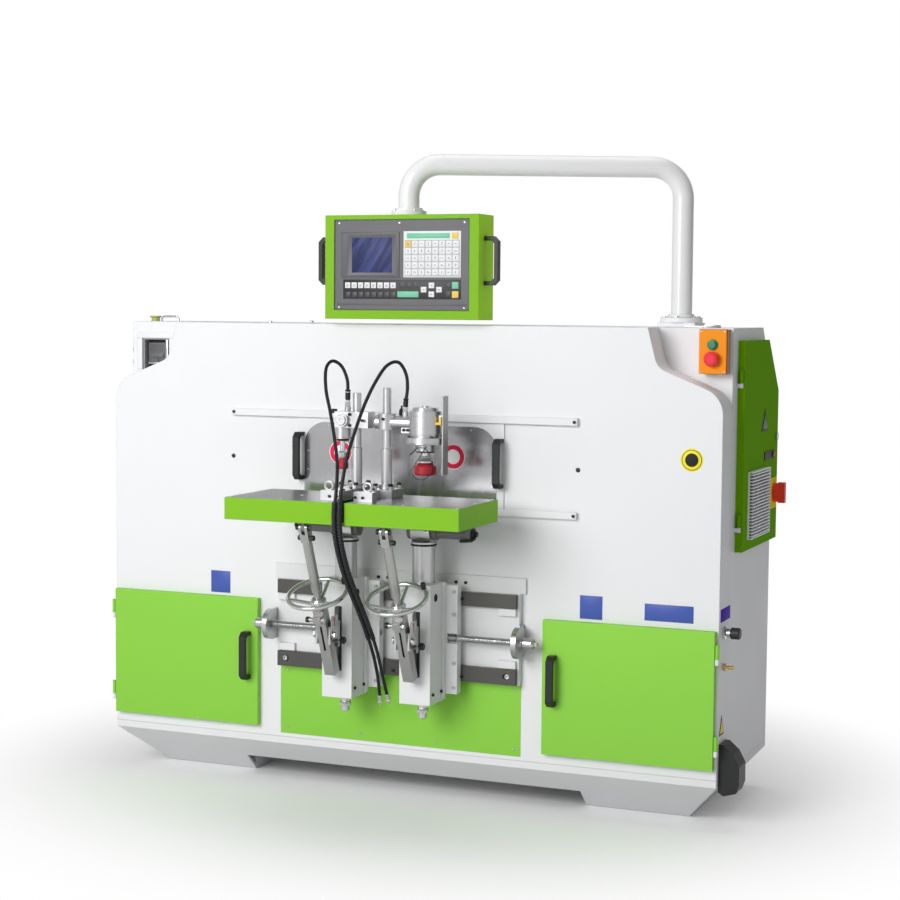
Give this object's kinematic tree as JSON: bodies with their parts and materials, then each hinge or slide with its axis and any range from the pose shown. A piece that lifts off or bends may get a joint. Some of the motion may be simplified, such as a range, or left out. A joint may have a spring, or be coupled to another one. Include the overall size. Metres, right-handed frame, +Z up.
{
  "type": "tenoning machine",
  "caption": "Floor-standing tenoning machine with a wide cabinet, tilting work tables with air clamps and struts, a sliding shield and a control pendant on a swinging arm.",
  "frame": {"origin": "on the floor, at the centre of the four anchor holes in the feet", "axes": "+X to the operator's right along the cabinet, +Y from the operator to the rear, +Z up"},
  "size_m": [1.9722, 1.0527, 1.865],
  "materials": {
    "white_paint": "fine textured white powder coat",
    "green_paint": "smooth lime green enamel",
    "dark_green_paint": "smooth green enamel, darker",
    "grey_paint": "dark grey enamel",
    "orange_paint": "orange enamel",
    "bed_casting": "painted white casting",
    "frame_steel": "primer grey",
    "rail_steel": "dark blued steel",
    "bright_steel": "ground steel",
    "stainless": "brushed stainless sheet",
    "chrome": "polished chrome",
    "table_steel": "dark ground table",
    "fence_alu": "light anodised",
    "clamp_alu": "light anodised",
    "red_rubber": "red pad",
    "black_plastic": "black",
    "hose_plastic": "blue-black hose",
    "green_plastic": "green",
    "red_plastic": "red",
    "panel_grey": "grey membrane panel"
  },
  "bodies": {
    "cabinet": {"base_plinth": "white_paint", "machine_frame": "frame_steel", "side_panels": "white_paint", "rear_cover": "white_paint", "inner_partitions": "white_paint", "front_shell": "white_paint", "lower_front_cover": "green_paint", "slide_bed": "bed_casting", "guide_rails": "rail_steel", "shield_rails": "white_paint", "lubricator": "grey_paint", "button_box": "orange_paint", "lead_screw_bearings": "bright_steel", "air_regulator": "bright_steel", "power_socket": "black_plastic"},
    "left_door": {"left_door": "green_paint", "left_door_handle": "black_plastic"},
    "right_door": {"right_door": "green_paint", "right_door_handle": "black_plastic"},
    "cabinet_door": {"cabinet_door": "dark_green_paint", "vent_cover": "grey_paint"},
    "main_switch": {"main_switch": "red_plastic"},
    "door_latch": {"door_latch": "bright_steel"},
    "start_button": {"start_button": "green_plastic"},
    "stop_button": {"stop_button": "red_plastic"},
    "swing_arm": {"swing_arm": "white_paint"},
    "pendant": {"pendant_case": "green_paint", "control_panel": "panel_grey", "pendant_handles": "black_plastic"},
    "shield": {"shield_plate": "stainless", "shield_handles": "black_plastic"},
    "left_saddle": {"left_saddle": "bed_casting"},
    "left_lead_screw": {"left_lead_screw": "bright_steel"},
    "left_column": {"left_column": "bright_steel"},
    "left_lift_screw": {"left_lift_screw": "bright_steel"},
    "left_table": {"left_table_frame": "green_paint", "left_table_top": "table_steel", "left_fence": "fence_alu"},
    "left_strut_tube": {"left_strut_tube": "bright_steel"},
    "left_strut_rod": {"left_strut_rod": "bright_steel"},
    "left_hand_wheel": {"left_hand_wheel": "chrome"},
    "left_clamp_head": {"left_clamp_head": "clamp_alu", "left_hose": "hose_plastic"},
    "left_clamp_rod": {"left_clamp_rod": "red_rubber"},
    "right_saddle": {"right_saddle": "bed_casting"},
    "right_lead_screw": {"right_lead_screw": "bright_steel"},
    "right_column": {"right_column": "bright_steel"},
    "right_lift_screw": {"right_lift_screw": "bright_steel"},
    "right_table": {"right_table_frame": "green_paint", "right_table_top": "table_steel", "right_fence": "fence_alu"},
    "right_strut_tube": {"right_strut_tube": "bright_steel"},
    "right_strut_rod": {"right_strut_rod": "bright_steel"},
    "right_hand_wheel": {"right_hand_wheel": "chrome"},
    "right_clamp_head": {"right_clamp_head": "clamp_alu", "right_hose": "hose_plastic"},
    "right_clamp_rod": {"right_clamp_rod": "red_rubber"},
    "spindle_carriage": {"spindle_carriage": "frame_steel"},
    "spindle_head": {"spindle_head": "bed_casting"},
    "tenon_cutter": {"tenon_cutter": "bright_steel"}
  },
  "joints": [
    {"name": "arm_swing", "type": "hinge", "parent": "cabinet", "child": "swing_arm", "pos_m": [0.738, -0.015, 1.5], "axis": [0, 0, 1], "range_deg": [-25, 50]},
    {"name": "pendant_swivel", "type": "hinge", "parent": "swing_arm", "child": "pendant", "pos_m": [0.022, -0.348, 1.69], "axis": [0, 0, 1], "range_deg": [-60, 60]},
    {"name": "left_door_hinge", "type": "hinge", "parent": "cabinet", "child": "left_door", "pos_m": [-0.954, -0.37, 0.365], "axis": [0, 0, -1], "range_deg": [0, 110]},
    {"name": "right_door_hinge", "type": "hinge", "parent": "cabinet", "child": "right_door", "pos_m": [0.954, -0.37, 0.365], "axis": [0, 0, 1], "range_deg": [0, 110]},
    {"name": "cabinet_door_hinge", "type": "hinge", "parent": "cabinet", "child": "cabinet_door", "pos_m": [0.966, -0.206, 1.05], "axis": [0, 0, -1], "range_deg": [0, 110]},
    {"name": "main_switch_turn", "type": "hinge", "parent": "cabinet_door", "child": "main_switch", "pos_m": [0.985, 0.165, 0.893], "axis": [1, 0, 0], "range_deg": [0, 90]},
    {"name": "door_latch_turn", "type": "hinge", "parent": "cabinet_door", "child": "door_latch", "pos_m": [0.975, 0.192, 1.057], "axis": [1, 0, 0], "range_deg": [0, 90]},
    {"name": "start_button_press", "type": "slide", "parent": "cabinet", "child": "start_button", "axis": [0, 1, 0], "range_m": [0, 0.004], "stiffness_N_per_m": 400, "springref_m": -0.004},
    {"name": "stop_button_press", "type": "slide", "parent": "cabinet", "child": "stop_button", "axis": [0, 1, 0], "range_m": [0, 0.005], "stiffness_N_per_m": 500, "springref_m": -0.005},
    {"name": "shield_slide", "type": "slide", "parent": "cabinet", "child": "shield", "axis": [1, 0, 0], "range_m": [-0.2, 0.2]},
    {"name": "left_saddle_slide", "type": "slide", "parent": "cabinet", "child": "left_saddle", "axis": [-1, 0, 0], "range_m": [0, 0.15]},
    {"name": "left_lead_screw_turn", "type": "hinge", "parent": "cabinet", "child": "left_lead_screw", "pos_m": [-0.25, -0.406, 0.49], "axis": [1, 0, 0], "range_deg": [-90, 11000]},
    {"name": "left_column_lift", "type": "slide", "parent": "left_saddle", "child": "left_column", "axis": [0, 0, 1], "range_m": [-0.08, 0.055]},
    {"name": "left_lift_screw_turn", "type": "hinge", "parent": "left_saddle", "child": "left_lift_screw", "pos_m": [-0.1215, -0.455, 0.4], "axis": [0, 0, 1], "range_deg": [-5900, 4100]},
    {"name": "left_table_tilt", "type": "hinge", "parent": "left_column", "child": "left_table", "pos_m": [-0.1215, -0.455, 0.796], "axis": [1, 0, 0], "range_deg": [-8, 5]},
    {"name": "left_strut_pivot", "type": "hinge", "parent": "left_column", "child": "left_strut_tube", "pos_m": [-0.1215, -0.59, 0.505], "axis": [1, 0, 0], "range_deg": [-3.2, 2.2]},
    {"name": "left_strut_extend", "type": "slide", "parent": "left_strut_tube", "child": "left_strut_rod", "axis": [0, -0.3794, 0.9252], "range_m": [-0.021, 0.034]},
    {"name": "left_hand_wheel_turn", "type": "hinge", "parent": "left_strut_tube", "child": "left_hand_wheel", "pos_m": [-0.1215, -0.62794, 0.59752], "axis": [0, -0.3794, 0.9252], "range_deg": [-1500, 2400]},
    {"name": "left_clamp_height", "type": "slide", "parent": "left_table", "child": "left_clamp_head", "axis": [0, 0, 1], "range_m": [-0.03, 0.03]},
    {"name": "left_clamp_stroke", "type": "slide", "parent": "left_clamp_head", "child": "left_clamp_rod", "axis": [0, 0, -1], "range_m": [0, 0.03]},
    {"name": "right_saddle_slide", "type": "slide", "parent": "cabinet", "child": "right_saddle", "axis": [1, 0, 0], "range_m": [0, 0.15]},
    {"name": "right_lead_screw_turn", "type": "hinge", "parent": "cabinet", "child": "right_lead_screw", "pos_m": [0.25, -0.406, 0.49], "axis": [1, 0, 0], "range_deg": [-90, 11000]},
    {"name": "right_column_lift", "type": "slide", "parent": "right_saddle", "child": "right_column", "axis": [0, 0, 1], "range_m": [-0.08, 0.055]},
    {"name": "right_lift_screw_turn", "type": "hinge", "parent": "right_saddle", "child": "right_lift_screw", "pos_m": [0.1215, -0.455, 0.4], "axis": [0, 0, 1], "range_deg": [-5900, 4100]},
    {"name": "right_table_tilt", "type": "hinge", "parent": "right_column", "child": "right_table", "pos_m": [0.1215, -0.455, 0.796], "axis": [1, 0, 0], "range_deg": [-8, 5]},
    {"name": "right_strut_pivot", "type": "hinge", "parent": "right_column", "child": "right_strut_tube", "pos_m": [0.1215, -0.59, 0.505], "axis": [1, 0, 0], "range_deg": [-3.2, 2.2]},
    {"name": "right_strut_extend", "type": "slide", "parent": "right_strut_tube", "child": "right_strut_rod", "axis": [0, -0.3794, 0.9252], "range_m": [-0.021, 0.034]},
    {"name": "right_hand_wheel_turn", "type": "hinge", "parent": "right_strut_tube", "child": "right_hand_wheel", "pos_m": [0.1215, -0.62794, 0.59752], "axis": [0, -0.3794, 0.9252], "range_deg": [-1500, 2400]},
    {"name": "right_clamp_height", "type": "slide", "parent": "right_table", "child": "right_clamp_head", "axis": [0, 0, 1], "range_m": [-0.03, 0.03]},
    {"name": "right_clamp_stroke", "type": "slide", "parent": "right_clamp_head", "child": "right_clamp_rod", "axis": [0, 0, -1], "range_m": [0, 0.03]},
    {"name": "carriage_traverse", "type": "slide", "parent": "cabinet", "child": "spindle_carriage", "axis": [1, 0, 0], "range_m": [-0.25, 0.25]},
    {"name": "spindle_head_lift", "type": "slide", "parent": "spindle_carriage", "child": "spindle_head", "axis": [0, 0, 1], "range_m": [-0.06, 0.06]},
    {"name": "cutter_spin", "type": "hinge", "parent": "spindle_head", "child": "tenon_cutter", "pos_m": [0, -0.275, 0.985], "axis": [0, 1, 0], "continuous": true}
  ],
  "couplings": [
    {"joint": "left_lead_screw_turn", "follows": "left_saddle_slide", "rad_per_m": 1256.6},
    {"joint": "left_lift_screw_turn", "follows": "left_column_lift", "rad_per_m": 1256.6},
    {"joint": "left_strut_pivot", "follows": "left_table_tilt", "ratio": 0.3673},
    {"joint": "left_strut_extend", "follows": "left_table_tilt", "m_per_rad": -0.23297},
    {"joint": "left_hand_wheel_turn", "follows": "left_table_tilt", "ratio": -292.76},
    {"joint": "right_lead_screw_turn", "follows": "right_saddle_slide", "rad_per_m": 1256.6},
    {"joint": "right_lift_screw_turn", "follows": "right_column_lift", "rad_per_m": 1256.6},
    {"joint": "right_strut_pivot", "follows": "right_table_tilt", "ratio": 0.3673},
    {"joint": "right_strut_extend", "follows": "right_table_tilt", "m_per_rad": -0.23297},
    {"joint": "right_hand_wheel_turn", "follows": "right_table_tilt", "ratio": -292.76}
  ]
}
